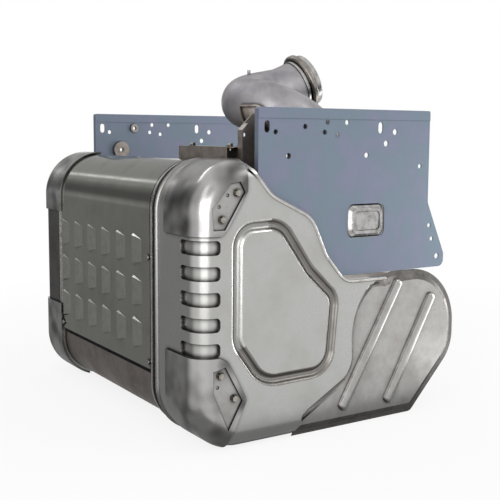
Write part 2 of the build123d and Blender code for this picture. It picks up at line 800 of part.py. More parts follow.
# Swan-neck inlet pipe with its weld stud, flange and collar
with BuildPart() as inlet_pipe:
    add(swept(pipe_r))
    with Locations(Vector(*stud_at) + Vector(0, 0, pipe_r)):
        Cylinder(stud_r, 2 * stud_height)
    add(swept(pipe_r - pipe_wall), mode=Mode.SUBTRACT)
    add(prism(box_face(skin_gap + 8), body_near, body_far), mode=Mode.SUBTRACT)
flange_plane = Plane(origin=inlet_face, z_dir=inlet_dir)
bore_r = pipe_r - pipe_wall
pipe_start = -lip_width - cap_sheet + fit_gap
collar_back = -lip_width - collar_width
with BuildPart() as flange_blank:
    with BuildSketch(Plane.XZ):
        with BuildLine():
            Polyline((bore_r, 0), (lip_r - 2, 0), (lip_r, -2), (lip_r, -lip_width),
                     (socket_r, -lip_width - 4), (socket_r, -socket_length),
                     (pipe_r + fit_gap, -socket_length), (pipe_r + fit_gap, pipe_start),
                     (bore_r, pipe_start), close=True)
        make_face()
    revolve(axis=Axis.Z)
with BuildPart() as collar_blank:
    with BuildSketch(Plane.XZ):
        with BuildLine():
            FilletPolyline((socket_r + fit_gap, collar_back), (socket_r + fit_gap, -lip_width - 5),
                           (lip_r, -lip_width - 1), (collar_r, -lip_width - 3), (collar_r, collar_back + 3),
                           (collar_r - 4, collar_back), radius=[0.0, 0.0, 0.0, 3.0, 4.0, 0.0], close=True)
        make_face()
    revolve(axis=Axis.Z)
with BuildPart() as inlet_flange:
    add(flange_blank.part.moved(flange_plane.location))
with BuildPart() as inlet_collar:
    add(collar_blank.part.moved(flange_plane.location))

# Support under the swan neck: flanged saddle against the pipe, channel leg and foot on the skin
saddle_left = neck_corners[0][0] - 2 * pipe_r
leg_back = saddle_near + leg_depth
leg_profile = plain_face([(leg_left, lobe_top), (leg_left, leg_top), (leg_left + 38, saddle_high - saddle_corner),
                          (leg_right, saddle_high - saddle_corner), (leg_right, lobe_top)])
leg_inside = plain_face([(leg_left + leg_sheet, lobe_top), (leg_left + leg_sheet, leg_top - leg_sheet),
                         (leg_left + leg_sheet + 38, saddle_high), (leg_right - leg_sheet, saddle_high),
                         (leg_right - leg_sheet, lobe_top)])
foot_area = plain_face([(foot_left, lobe_top), (leg_right + 10, lobe_top), (leg_right + 10, box_height),
                        (foot_left, box_height)])
with BuildPart() as pipe_support:
    add(prism(leg_profile, saddle_near, leg_back))
    add(prism(leg_inside, saddle_near - 1, leg_back - leg_sheet), mode=Mode.SUBTRACT)
    add(rods([leg_hole], pad_hole / 2, saddle_near - 1, leg_back + 1), mode=Mode.SUBTRACT)
    add(prism(box_face(skin_gap - leg_sheet) & foot_area, foot_near, foot_far))
    add(swept(pipe_r + fit_gap + saddle_sheet) & saddle_block(0.0, saddle_left))
    add(swept(pipe_r + saddle_rim)
        & (saddle_block(0.0, saddle_left) - saddle_block(leg_sheet, saddle_left - 1)))
    add(swept(pipe_r + fit_gap), mode=Mode.SUBTRACT)
    add(prism(box_face(skin_gap), body_near, body_far), mode=Mode.SUBTRACT)

# Rail along the top of the box and its two bolts
bracket_bolt_x = (bracket_left + bracket_right) / 2
with BuildPart() as top_bracket:
    outer = plain_face([(bracket_left, box_height - 120), (bracket_right, box_height - 120),
                        (bracket_right, bracket_top), (bracket_left, bracket_top)])
    inner = plain_face([(bracket_left + bracket_sheet, box_height - 130),
                        (bracket_right - bracket_sheet, box_height - 130),
                        (bracket_right - bracket_sheet, bracket_top - bracket_sheet),
                        (bracket_left + bracket_sheet, bracket_top - bracket_sheet)])
    add(prism(outer - inner, bracket_near, bracket_far))
    add(prism(box_face(skin_gap), bracket_near - 1, bracket_far + 1), mode=Mode.SUBTRACT)
    add(prism(box_face(), near_skirt_y - rim_lap - 1, shield_near - rim_clear + 1), mode=Mode.SUBTRACT)
    with BuildSketch(Plane.XY.offset(bracket_top)):
        with Locations(*[(bracket_bolt_x, y) for y in bracket_bolt_ys]):
            Circle(shank_r + fit_gap)
    extrude(amount=-bracket_sheet - 1, mode=Mode.SUBTRACT)
with BuildPart() as bracket_bolts:
    for y in bracket_bolt_ys:
        add(flange_bolt().moved(Location((bracket_bolt_x, y, bracket_top))))

# Outlet pipe and flange on the inboard side
with BuildPart() as outlet_pipe:
    with BuildSketch(Plane.YZ.offset(divider_x)):
        with Locations((outlet_y, outlet_z)):
            Circle(outlet_r)
            Circle(outlet_r - outlet_wall, mode=Mode.SUBTRACT)
    extrude(amount=outlet_end_x - divider_x)
    add(prism(box_face(skin_gap + 8), body_near, body_far), mode=Mode.SUBTRACT)
with BuildPart() as outlet_flange:
    with BuildSketch(Plane.YZ.offset(outlet_end_x - outlet_flange_width)):
        with Locations((outlet_y, outlet_z)):
            Circle(outlet_flange_r)
            Circle(outlet_r + fit_gap, mode=Mode.SUBTRACT)
    extrude(amount=outlet_flange_width)

# Inner end walls, bulkheads and dividers
can_places = [(filter_at, filter_r), (mixer_at, mixer_r)] + [((scr_x, z), scr_r) for z in scr_zs]
with BuildPart() as near_inner_end:
    add(clear_of_cap(prism(box_face(inner_gap), body_near + fit_gap, body_near + fit_gap + inner_sheet)))
with BuildPart() as far_inner_end:
    add(mirrored(clear_of_cap(prism(box_face(inner_gap), fit_gap - body_far,
                                    fit_gap + inner_sheet - body_far))))
with BuildPart() as near_bulkhead:
    add(prism(box_face(inner_gap), -bulkhead_y - inner_sheet, -bulkhead_y))
    for at, radius in can_places:
        add(rods([at], radius + fit_gap, -bulkhead_y - 5, -bulkhead_y + 5), mode=Mode.SUBTRACT)
with BuildPart() as far_bulkhead:
    add(prism(box_face(inner_gap), bulkhead_y, bulkhead_y + inner_sheet))
    for at, radius in can_places:
        add(rods([at], radius + fit_gap, bulkhead_y - 5, bulkhead_y + 5), mode=Mode.SUBTRACT)
with BuildPart() as near_divider:
    add(clear_of_cap(inner_wall([(divider_x, 0, divider_x + inner_sheet, box_height)],
                                body_near + 2 * fit_gap + inner_sheet,
                                -bulkhead_y - inner_sheet - fit_gap)))
far_wall_y = body_far - 2 * fit_gap - inner_sheet
far_start_y = bulkhead_y + inner_sheet + fit_gap
duct_back = bulkhead_y + duct_depth
with BuildPart() as far_divider:
    add(mirrored(clear_of_cap(inner_wall(
        [(divider_x, 0, divider_x + inner_sheet, duct_low + inner_sheet),
         (divider_x, duct_high, half_width, duct_high + inner_sheet)], -far_wall_y, -far_start_y))))
    add(inner_wall([(divider_x, duct_low, divider_x + inner_sheet, duct_high)], duct_back, far_wall_y))
with BuildPart() as mixing_duct:
    add(inner_wall([(x_left, duct_low, divider_x - fit_gap, duct_low + inner_sheet),
                    (x_left, duct_high, divider_x - fit_gap, duct_high + inner_sheet)],
                   far_start_y, duct_back))
    add(inner_wall([(x_left, duct_low, divider_x - fit_gap, duct_high + inner_sheet)],
                   duct_back, duct_back + inner_sheet))

# Filter line in the lobe, catalyst cans and mixing pipe on the left
can_end = bulkhead_y + can_stub
with BuildPart() as filter_can:
    add(tube(filter_at, filter_r, inner_sheet, -can_end, can_end))
brick_r = filter_r - inner_sheet - mat_thickness
catalyst_y = -bulkhead_y + can_stub
filter_y = catalyst_y + catalyst_length + 2 * can_stub
with BuildPart() as oxidation_catalyst:
    add(rods([filter_at], brick_r - fit_gap, catalyst_y, catalyst_y + catalyst_length))
with BuildPart() as particulate_filter:
    add(rods([filter_at], brick_r - fit_gap, filter_y, filter_y + filter_length))
with BuildPart() as filter_mats:
    add(tube(filter_at, filter_r - inner_sheet - fit_gap, mat_thickness - fit_gap,
             catalyst_y, catalyst_y + catalyst_length))
    add(tube(filter_at, filter_r - inner_sheet - fit_gap, mat_thickness - fit_gap,
             filter_y, filter_y + filter_length))
scr_shapes = {}
scr_brick_r = scr_r - inner_sheet - mat_thickness
for name, z in zip(("lower", "upper"), scr_zs):
    with BuildPart() as can:
        add(tube((scr_x, z), scr_r, inner_sheet, -can_end, can_end))
    with BuildPart() as brick:
        add(rods([(scr_x, z)], scr_brick_r - fit_gap, -scr_length / 2, scr_length / 2))
    with BuildPart() as mat:
        add(tube((scr_x, z), scr_r - inner_sheet - fit_gap, mat_thickness - fit_gap,
                 -scr_length / 2, scr_length / 2))
    scr_shapes[name + "_scr_can"] = can
    scr_shapes[name + "_scr_catalyst"] = brick
    scr_shapes[name + "_scr_mat"] = mat
with BuildPart() as mixing_pipe:
    add(tube(mixer_at, mixer_r, inner_sheet, -can_end, can_end))

pieces = {
    "near_end_cap": near_end_cap, "far_end_cap": far_end_cap,
    "near_lobe_cover": near_lobe_cover, "far_lobe_cover": far_lobe_cover,
    "near_upper_corner_cap": near_upper_corner_cap, "near_lower_corner_cap": near_lower_corner_cap,
    "far_upper_corner_cap": far_upper_corner_cap, "far_lower_corner_cap": far_lower_corner_cap,
    "near_corner_bolts": near_corner_bolts, "far_corner_bolts": far_corner_bolts,
    "body_shell": body_shell, "near_rim_band": near_rim_band, "far_rim_band": far_rim_band,
    "side_shield": side_shield, "insulation_mat": insulation_mat, "shield_screws": shield_screws,
    "near_mounting_plate": near_mounting_plate, "far_mounting_plate": far_mounting_plate,
    "near_plate_pad": near_plate_pad, "far_plate_pad": far_plate_pad,
    "near_plate_bosses": near_plate_bosses, "far_plate_bosses": far_plate_bosses,
    "inlet_pipe": inlet_pipe, "inlet_flange": inlet_flange, "inlet_collar": inlet_collar,
    "pipe_support": pipe_support, "top_bracket": top_bracket, "bracket_bolts": bracket_bolts,
    "outlet_pipe": outlet_pipe, "outlet_flange": outlet_flange,
    "near_inner_end": near_inner_end, "far_inner_end": far_inner_end,
    "near_bulkhead": near_bulkhead, "far_bulkhead": far_bulkhead,
    "near_divider": near_divider, "far_divider": far_divider, "mixing_duct": mixing_duct,
    "filter_can": filter_can, "oxidation_catalyst": oxidation_catalyst,
    "particulate_filter": particulate_filter, "filter_mats": filter_mats,
    "mixing_pipe": mixing_pipe, **scr_shapes,
}
os.makedirs("parts", exist_ok=True)
for label, piece in pieces.items():
    piece.part.label = label
    export_step(piece.part, f"parts/{label}.step")
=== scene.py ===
import bpy
import math
from mathutils import Matrix, Vector


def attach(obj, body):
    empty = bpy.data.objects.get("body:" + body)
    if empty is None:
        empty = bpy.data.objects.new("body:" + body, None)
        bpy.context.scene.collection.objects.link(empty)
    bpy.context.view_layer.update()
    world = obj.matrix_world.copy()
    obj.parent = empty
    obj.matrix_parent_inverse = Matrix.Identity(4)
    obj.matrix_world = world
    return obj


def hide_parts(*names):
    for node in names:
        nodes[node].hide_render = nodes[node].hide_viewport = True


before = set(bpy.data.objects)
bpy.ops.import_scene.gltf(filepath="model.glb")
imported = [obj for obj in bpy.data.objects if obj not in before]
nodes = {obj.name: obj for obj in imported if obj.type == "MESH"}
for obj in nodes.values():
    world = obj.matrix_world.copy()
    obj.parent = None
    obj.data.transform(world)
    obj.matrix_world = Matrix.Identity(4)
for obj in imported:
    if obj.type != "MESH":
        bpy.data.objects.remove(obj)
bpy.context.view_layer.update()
bpy.ops.object.select_all(action="DESELECT")
print("frame loaded:", len(nodes), "nodes")


def linearColour(hexText):
    parts = [int(hexText[i:i + 2], 16) / 255 for i in (1, 3, 5)]
    return [c / 12.92 if c <= 0.04045 else ((c + 0.055) / 1.055) ** 2.4 for c in parts] + [1.0]


def addNode(tree, kind, settings=None, links=None):
    node = tree.nodes.new(kind)
    for key, value in (settings or {}).items():
        if isinstance(key, int) or key in node.inputs:
            node.inputs[key].default_value = value
        else:
            setattr(node, key, value)
    for key, source in (links or {}).items():
        tree.links.new(source, node.inputs[key])
    return node


def startMaterial(name):
    material = bpy.data.materials.new(name)
    material.use_nodes = True
    tree = material.node_tree
    tree.nodes.clear()
    place = addNode(tree, "ShaderNodeTexCoord").outputs["Object"]  # metres, as the frame
    return material, tree, place


def finishMaterial(tree, shader):
    addNode(tree, "ShaderNodeOutputMaterial", None, {"Surface": shader.outputs[0]})


# painted shade in corners and creases: its colour, samples, and the open-sky shares where it is full and
# gone
cornerShadeLook = {"colour": "#1b1917", "samples": 12, "openness": (0.68, 0.95)}


def addPaintedCornerShade(tree, colour, amount, reach):  # painted shade where sheets meet: darker where a spot sees less open sky
    corner = addNode(tree, "ShaderNodeAmbientOcclusion",
                     {"samples": cornerShadeLook["samples"], "Distance": reach / 1000})
    shut, clear = cornerShadeLook["openness"]  # share of open sky at which the painted shade is full, and gone
    share = addNode(tree, "ShaderNodeMapRange", {"From Min": shut, "From Max": clear,
                    "To Min": amount, "To Max": 0.0}, {"Value": corner.outputs["AO"]})
    return addNode(tree, "ShaderNodeMix",
                   {"data_type": "RGBA", 7: linearColour(cornerShadeLook["colour"])},
                   {0: share.outputs[0], 6: colour})


# Each steel: base and stain colours, size in mm and detail of the stain, roughness low and high,
# grain direction with its line spacing in mm, the height and size in mm of the sheet's waves,
# and how much shade is painted into its corners, with its reach in mm. The grain of the real
# sheets is finer, and is drawn this coarse so that it shows.
steelLooks = {
    "pressedStainless": {  # deep-drawn ferritic stainless: satin, slightly wavy, soft highlights
        "base": "#b4b4b2", "stain": "#98968f", "stainSize": 120, "stainDetail": 4.0, "stainAmount": 0.4,
        "roughness": (0.24, 0.36), "grain": (1.2, 30.0, 30.0), "grainDepth": 0.004,
        "waveSize": 55, "waveHeight": 0.25, "cornerShade": 0.8, "cornerShadeReach": 14},
    "wipedStainless": {  # the same sheet, handled: brownish wipe marks
        "base": "#aaa9a7", "stain": "#85807b", "stainSize": 60, "stainDetail": 5.0, "stainAmount": 0.55,
        "roughness": (0.24, 0.40), "grain": (8.0, 30.0, 1.0), "grainDepth": 0.005,
        "waveSize": 70, "waveHeight": 0.35, "cornerShade": 0.85, "cornerShadeReach": 20},
    "brightStainless": {  # bright-annealed pressings: mirror-like, with soft dark smudges
        "base": "#aaa9a8", "stain": "#343230", "stainSize": 75, "stainDetail": 1.2, "stainAmount": 0.8,
        "roughness": (0.2, 0.34), "grain": (1.0, 12.0, 12.0), "grainDepth": 0.002,
        "waveSize": 40, "waveHeight": 0.2, "cornerShade": 0.85, "cornerShadeReach": 12},
    "padStainless": {  # pads, pipe ends and screws: the same bright sheet, cleaner
        "base": "#b4b3b2", "stain": "#6f6c68", "stainSize": 22, "stainDetail": 2.0, "stainAmount": 0.7,
        "roughness": (0.18, 0.32), "grain": (1.0, 12.0, 12.0), "grainDepth": 0.002,
        "waveSize": 20, "waveHeight": 0.3, "cornerShade": 0.8, "cornerShadeReach": 6},
    "shieldStainless": {  # cold-rolled heat shield: polished, with faint long streaks
        "base": "#9c9d96", "stain": "#7f7f78", "stainSize": 110, "stainDetail": 3.0, "stainAmount": 0.5,
        "roughness": (0.09, 0.18), "grain": (30.0, 0.8, 30.0), "grainDepth": 0.002,
        "waveSize": 90, "waveHeight": 0.35, "cornerShade": 0.7, "cornerShadeReach": 8},
    "wrapStainless": {  # skin of the box: dull, pinkish brown from heat
        "base": "#8f8782", "stain": "#5d544d", "stainSize": 60, "stainDetail": 5.0, "stainAmount": 0.5,
        "roughness": (0.28, 0.44), "grain": (30.0, 1.0, 30.0), "grainDepth": 0.004,
        "waveSize": 120, "waveHeight": 0.5, "cornerShade": 1.0, "cornerShadeReach": 22},
    "beadHighlightStainless": {  # rolled beads and hems: painted highlight, lighter than the sheet
        "base": "#c4c2bf", "stain": "#8a8782", "stainSize": 40, "stainDetail": 2.0, "stainAmount": 0.5,
        "roughness": (0.2, 0.3), "grain": (20.0, 2.0, 20.0), "grainDepth": 0.002,
        "waveSize": 60, "waveHeight": 0.1, "cornerShade": 0.6, "cornerShadeReach": 4},
    "shieldShadowStainless": {  # strip of skin under the shield's edge: painted shadow of the shield, black
        "base": "#161514", "stain": "#0c0b0b", "stainSize": 40, "stainDetail": 3.0, "stainAmount": 0.6,
        "roughness": (0.5, 0.7), "grain": (20.0, 2.0, 20.0), "grainDepth": 0.003,
        "waveSize": 60, "waveHeight": 0.1, "cornerShade": 0.8, "cornerShadeReach": 6},
    "sootedBandStainless": {  # floor of the rim band between its beads: painted shade, black
        "base": "#282624", "stain": "#181615", "stainSize": 40, "stainDetail": 3.0, "stainAmount": 0.6,
        "roughness": (0.4, 0.6), "grain": (20.0, 2.0, 20.0), "grainDepth": 0.003,
        "waveSize": 60, "waveHeight": 0.1, "cornerShade": 0.8, "cornerShadeReach": 6},
    "edgeShadeStainless": {  # low edges of the lobe covers, the ribs' left feet and the seam over them: painted shade, grey brown
        "base": "#6e6b69", "stain": "#454341", "stainSize": 30, "stainDetail": 4.0, "stainAmount": 0.6,
        "roughness": (0.3, 0.45), "grain": (8.0, 8.0, 8.0), "grainDepth": 0.004,
        "waveSize": 40, "waveHeight": 0.2, "cornerShade": 0.6, "cornerShadeReach": 8},
    "shadedGrooveStainless": {  # painted shade in the groove along its right and lower run: even dark grey
        "base": "#84817d", "stain": "#66625e", "stainSize": 50, "stainDetail": 2.0, "stainAmount": 0.4,
        "roughness": (0.32, 0.42), "grain": (8.0, 8.0, 8.0), "grainDepth": 0.003,
        "waveSize": 60, "waveHeight": 0.1, "cornerShade": 0.45, "cornerShadeReach": 14},
    "shadedSkirtStainless": {  # side of the far end cap: painted shade, grey under a thin gloss
        "base": "#5a5856", "stain": "#454340", "stainSize": 60, "stainDetail": 3.0, "stainAmount": 0.5,
        "roughness": (0.3, 0.42), "grain": (30.0, 4.0, 8.0), "grainDepth": 0.003,
        "waveSize": 60, "waveHeight": 0.2, "cornerShade": 0.8, "cornerShadeReach": 8},
    "rubbedStainless": {  # shoulders that stand proud, the ribs' right flanks and the far band: painted highlight, lighter than the sheet
        "base": "#c9c9c4", "stain": "#a5a5a0", "stainSize": 12, "stainDetail": 2.0, "stainAmount": 0.5,
        "roughness": (0.2, 0.3), "grain": (4.0, 4.0, 4.0), "grainDepth": 0.002,
        "waveSize": 30, "waveHeight": 0.05, "cornerShade": 0.5, "cornerShadeReach": 5},
    "louvreHighlightStainless": {  # louvre faces: the shield's sheet, lighter: painted highlight
        "base": "#b0b1aa", "stain": "#91918a", "stainSize": 20, "stainDetail": 2.0, "stainAmount": 0.4,
        "roughness": (0.14, 0.24), "grain": (4.0, 4.0, 30.0), "grainDepth": 0.002,
        "waveSize": 30, "waveHeight": 0.25, "cornerShade": 0.6, "cornerShadeReach": 8},
    "tubeStainless": {  # bent tube: satin grey with a faint violet bloom
        "base": "#a09ea0", "stain": "#7d7a83", "stainSize": 50, "stainDetail": 3.0, "stainAmount": 0.6,
        "roughness": (0.42, 0.54), "grain": (4.0, 4.0, 30.0), "grainDepth": 0.003,
        "waveSize": 40, "waveHeight": 0.06, "cornerShade": 0.7, "cornerShadeReach": 10},
    "heatTintedSteel": {  # steel near the pipe: grey with brown oxide
        "base": "#a39b94", "stain": "#6a5f56", "stainSize": 30, "stainDetail": 4.0, "stainAmount": 0.6,
        "roughness": (0.32, 0.5), "grain": (5.0, 5.0, 20.0), "grainDepth": 0.004,
        "waveSize": 40, "waveHeight": 0.2, "cornerShade": 0.75, "cornerShadeReach": 9},
    "dulledClampSteel": {  # clamp ring: dulled by heat, with painted shade in its corners
        "base": "#948e88", "stain": "#55504c", "stainSize": 14, "stainDetail": 4.0, "stainAmount": 0.5,
        "roughness": (0.24, 0.4), "grain": (3.0, 3.0, 3.0), "grainDepth": 0.004,
        "waveSize": 14, "waveHeight": 0.2, "cornerShade": 0.85, "cornerShadeReach": 7},
    "boltSteel": {  # plain flange bolts: forged heads, with painted shade round the washer
        "base": "#a9a59d", "stain": "#5f5a52", "stainSize": 6, "stainDetail": 3.0, "stainAmount": 0.5,
        "roughness": (0.14, 0.28), "grain": (2.0, 2.0, 2.0), "grainDepth": 0.002,
        "waveSize": 10, "waveHeight": 0.03, "cornerShade": 0.9, "cornerShadeReach": 5},
    "innerStainless": {  # baffles and cans inside: dull mill finish
        "base": "#8a847d", "stain": "#5d564f", "stainSize": 60, "stainDetail": 4.0, "stainAmount": 0.5,
        "roughness": (0.35, 0.5), "grain": (20.0, 1.0, 20.0), "grainDepth": 0.003,
        "waveSize": 80, "waveHeight": 0.2, "cornerShade": 0.3, "cornerShadeReach": 8},
}


# what the steels share: break-up of the stain, and strength of the waves and of the grain
sheetLook = {"stainRoughness": 0.62, "stainEdges": (0.42, 0.68), "cloudRange": (0.3, 0.7),
             "grainDetail": 3.0, "grainStrength": 0.6, "waveDetail": 1.5, "waveStrength": 1.0}


def makeSteel(name, look):
    material, tree, place = startMaterial(name)
    clouds = addNode(tree, "ShaderNodeTexNoise", {"Scale": 1000 / look["stainSize"],
                     "Detail": look["stainDetail"], "Roughness": sheetLook["stainRoughness"]},
                     {"Vector": place})
    patch = addNode(tree, "ShaderNodeValToRGB", None, {"Fac": clouds.outputs["Fac"]})
    patch.color_ramp.elements[0].position = sheetLook["stainEdges"][0]
    patch.color_ramp.elements[1].position = sheetLook["stainEdges"][1]
    share = addNode(tree, "ShaderNodeMath", {"operation": "MULTIPLY", 1: look["stainAmount"]},
                    {0: patch.outputs["Color"]})
    colour = addNode(tree, "ShaderNodeMix", {"data_type": "RGBA", 6: linearColour(look["base"]),
                     7: linearColour(look["stain"])}, {0: share.outputs[0]})
    stretch = addNode(tree, "ShaderNodeMapping", {"Scale": [1000 / s for s in look["grain"]]},
                      {"Vector": place})
    grain = addNode(tree, "ShaderNodeTexNoise", {"Scale": 1.0, "Detail": sheetLook["grainDetail"]},
                    {"Vector": stretch.outputs[0]})
    rough = addNode(tree, "ShaderNodeMapRange", {"From Min": sheetLook["cloudRange"][0],
                    "From Max": sheetLook["cloudRange"][1], "To Min": look["roughness"][0],
                    "To Max": look["roughness"][1]}, {"Value": clouds.outputs["Fac"]})
    waves = addNode(tree, "ShaderNodeTexNoise", {"Scale": 1000 / look["waveSize"],
                    "Detail": sheetLook["waveDetail"]}, {"Vector": place})
    swell = addNode(tree, "ShaderNodeBump", {"Strength": sheetLook["waveStrength"],
                    "Distance": look["waveHeight"] / 1000}, {"Height": waves.outputs["Fac"]})
    scratch = addNode(tree, "ShaderNodeBump", {"Strength": sheetLook["grainStrength"],
                      "Distance": look["grainDepth"] / 1000},
                      {"Height": grain.outputs["Fac"], "Normal": swell.outputs[0]})
    shaded = addPaintedCornerShade(tree, colour.outputs[2], look["cornerShade"], look["cornerShadeReach"])
    shader = addNode(tree, "ShaderNodeBsdfPrincipled", {"Metallic": 1.0},
                     {"Base Color": shaded.outputs[2], "Roughness": rough.outputs[0],
                      "Normal": scratch.outputs[0]})
    finishMaterial(tree, shader)
    return material


steel = {name: makeSteel(name, look) for name, look in steelLooks.items()}
print("steels made:", len(steel))

# sizes in mm; real flakes are far finer, and are drawn this coarse so that they show
plateLook = {"base": "#6d7786", "teal": "#6b7985", "violet": "#73778a", "bloomStops": (0.36, 0.5, 0.66),
             "patchSize": 60, "patchDetail": 3.0, "flakeSize": 1.5, "flakeDetail": 2.0,
             "flakeHeight": 0.02, "flakeStrength": 0.25, "roughness": (0.42, 0.55), "metallic": 0.55,
             "cornerShade": 0.5, "cornerShadeReach": 5}


def makePlateCoat(look):  # zinc-flake coat: blue grey, half matt, faint teal and violet bloom
    material, tree, place = startMaterial("zincFlakeCoat")
    slow = addNode(tree, "ShaderNodeTexNoise", {"Scale": 1000 / look["patchSize"],
                   "Detail": look["patchDetail"]}, {"Vector": place})
    ramp = addNode(tree, "ShaderNodeValToRGB", None, {"Fac": slow.outputs["Fac"]})
    tealStop, baseStop, violetStop = look["bloomStops"]
    ramp.color_ramp.elements[0].position = tealStop
    ramp.color_ramp.elements[0].color = linearColour(look["teal"])
    ramp.color_ramp.elements[1].position = violetStop
    ramp.color_ramp.elements[1].color = linearColour(look["violet"])
    ramp.color_ramp.elements.new(baseStop).color = linearColour(look["base"])
    flakes = addNode(tree, "ShaderNodeTexNoise", {"Scale": 1000 / look["flakeSize"],
                     "Detail": look["flakeDetail"]}, {"Vector": place})
    rough = addNode(tree, "ShaderNodeMapRange", {"To Min": look["roughness"][0],
                    "To Max": look["roughness"][1]}, {"Value": flakes.outputs["Fac"]})
    bump = addNode(tree, "ShaderNodeBump", {"Strength": look["flakeStrength"],
                   "Distance": look["flakeHeight"] / 1000}, {"Height": flakes.outputs["Fac"]})
    shaded = addPaintedCornerShade(tree, ramp.outputs["Color"], look["cornerShade"], look["cornerShadeReach"])
    shader = addNode(tree, "ShaderNodeBsdfPrincipled", {"Metallic": look["metallic"]},
                     {"Base Color": shaded.outputs[2], "Roughness": rough.outputs[0],
                      "Normal": bump.outputs[0]})
    finishMaterial(tree, shader)
    return material


plateCoat = makePlateCoat(plateLook)

# sizes in mm; the real cells and fibres are finer, and are drawn this coarse so that they show
ceramicLook = {"catalyst": "#9a8568", "filter": "#c9c3b8", "cellPitch": 1.5, "cellShade": 0.5,
               "roughness": 0.85}
matLook = {"colour": "#e4dfd0", "fibre": 0.6, "fibreDetail": 4.0, "felting": 0.5, "fibreHeight": 0.3,
           "roughness": 0.95}


def makeCeramic(name, hexText, look):  # extruded cordierite: matt, with fine square cells
    material, tree, place = startMaterial(name)
    cells = addNode(tree, "ShaderNodeTexVoronoi", {"Scale": 1000 / look["cellPitch"],
                    "distance": "CHEBYCHEV", "Randomness": 0.0}, {"Vector": place})
    shade = addNode(tree, "ShaderNodeMix", {"data_type": "RGBA", "blend_type": "MULTIPLY",
                    0: look["cellShade"], 6: linearColour(hexText)}, {7: cells.outputs["Distance"]})
    shader = addNode(tree, "ShaderNodeBsdfPrincipled", {"Roughness": look["roughness"]},
                     {"Base Color": shade.outputs[2]})
    finishMaterial(tree, shader)
    return material


def makeFibreMat(look):  # ceramic fibre blanket: soft, off-white, felted
    material, tree, place = startMaterial("ceramicFibreMat")
    fibres = addNode(tree, "ShaderNodeTexNoise", {"Scale": 1000 / look["fibre"],
                     "Detail": look["fibreDetail"]}, {"Vector": place})
    bump = addNode(tree, "ShaderNodeBump", {"Strength": look["felting"],
                   "Distance": look["fibreHeight"] / 1000}, {"Height": fibres.outputs["Fac"]})
    shader = addNode(tree, "ShaderNodeBsdfPrincipled", {"Roughness": look["roughness"],
                     "Base Color": linearColour(look["colour"])}, {"Normal": bump.outputs[0]})
    finishMaterial(tree, shader)
    return material


catalystCeramic = makeCeramic("catalystCordierite", ceramicLook["catalyst"], ceramicLook)
filterCeramic = makeCeramic("filterCordierite", ceramicLook["filter"], ceramicLook)
fibreMat = makeFibreMat(matLook)
print("coat, ceramics and mat made")


# material, edge round in mm and the angle in degrees above which an edge stays sharp
dressing = {
    "near_end_cap": ("pressedStainless", 0.5, 32),
    "far_end_cap": ("pressedStainless", 0.5, 32),
    "near_lobe_cover": ("wipedStainless", 0.8, 32),
    "far_lobe_cover": ("wipedStainless", 0.8, 32),
    "near_upper_corner_cap": ("brightStainless", 0.8, 32),
    "near_lower_corner_cap": ("brightStainless", 0.8, 32),
    "far_upper_corner_cap": ("brightStainless", 0.8, 32),
    "far_lower_corner_cap": ("brightStainless", 0.8, 32),
    "near_corner_bolts": ("boltSteel", 0.5, 30),
    "far_corner_bolts": ("boltSteel", 0.5, 30),
    "body_shell": ("wrapStainless", 0.0, 32),
    "near_rim_band": ("sootedBandStainless", 0.8, 32),
    "far_rim_band": ("rubbedStainless", 0.8, 32),
    "side_shield": ("shieldStainless", 0.4, 32),
    "shield_screws": ("padStainless", 0.5, 30),
    "near_plate_pad": ("padStainless", 1.2, 32),
    "far_plate_pad": ("padStainless", 1.2, 32),
    "near_plate_bosses": ("heatTintedSteel", 0.5, 32),
    "far_plate_bosses": ("heatTintedSteel", 0.5, 32),
    "inlet_pipe": ("tubeStainless", 0.0, 32),
    "inlet_flange": ("padStainless", 0.8, 32),
    "inlet_collar": ("dulledClampSteel", 0.8, 32),
    "pipe_support": ("heatTintedSteel", 0.6, 32),
    "top_bracket": ("heatTintedSteel", 0.8, 32),
    "bracket_bolts": ("boltSteel", 0.5, 30),
    "outlet_pipe": ("tubeStainless", 0.0, 32),
    "outlet_flange": ("padStainless", 0.8, 32),
    "near_mounting_plate": ("plate", 0.8, 32),
    "far_mounting_plate": ("plate", 0.8, 32),
}


def chooseCorners(piece, chosen):
    bpy.ops.object.mode_set(mode="EDIT")
    bpy.ops.mesh.select_mode(type="VERT")
    bpy.ops.mesh.select_all(action="DESELECT")
    bpy.ops.object.mode_set(mode="OBJECT")
    for corner in piece.data.vertices:
        corner.select = chosen(corner.co)
    bpy.ops.object.mode_set(mode="EDIT")
    bpy.ops.mesh.select_mode(type="VERT")


# metres, and the lines of the ribs' middles as points across and up the cover
ribShape = {"stretch": 1.42, "reach": 0.0126,
            "lines": [((0.1955, 0.350), (0.022, 0.054)), ((0.312, 0.304), (0.170, 0.050))],
            "plane": {"near_lobe_cover": 0.4699, "far_lobe_cover": 0.4739}}


def stretchRibs(piece, name):  # pressed ribs spread to their full width at the foot
    plane = ribShape["plane"][name]
    for (startX, startZ), (endX, endZ) in ribShape["lines"]:
        start, run = Vector((startX, startZ)), Vector((endX - startX, endZ - startZ))
        middle = start + run / 2

        def onRib(spot):
            flat = Vector((spot.x, spot.z)) - start
            along = min(max(flat.dot(run) / run.length_squared, 0.0), 1.0)
            return abs(spot.y) > plane and (flat - run * along).length < ribShape["reach"]

        chooseCorners(piece, onRib)
        turn = Matrix.Rotation(math.atan2(run.x, run.y), 3, "Y")
        bpy.ops.transform.resize(value=(ribShape["stretch"], 1.0, 1.0), orient_type="GLOBAL",
                                 orient_matrix=turn, orient_matrix_type="GLOBAL",
                                 center_override=(middle.x, 0.0, middle.y))
        bpy.ops.object.mode_set(mode="OBJECT")


padShape = {"shrink": (0.82, 1.0, 0.78), "centre": (0.092, 0.5155),
            "plane": {"near_plate_pad": -0.4640, "far_plate_pad": 0.4620}}


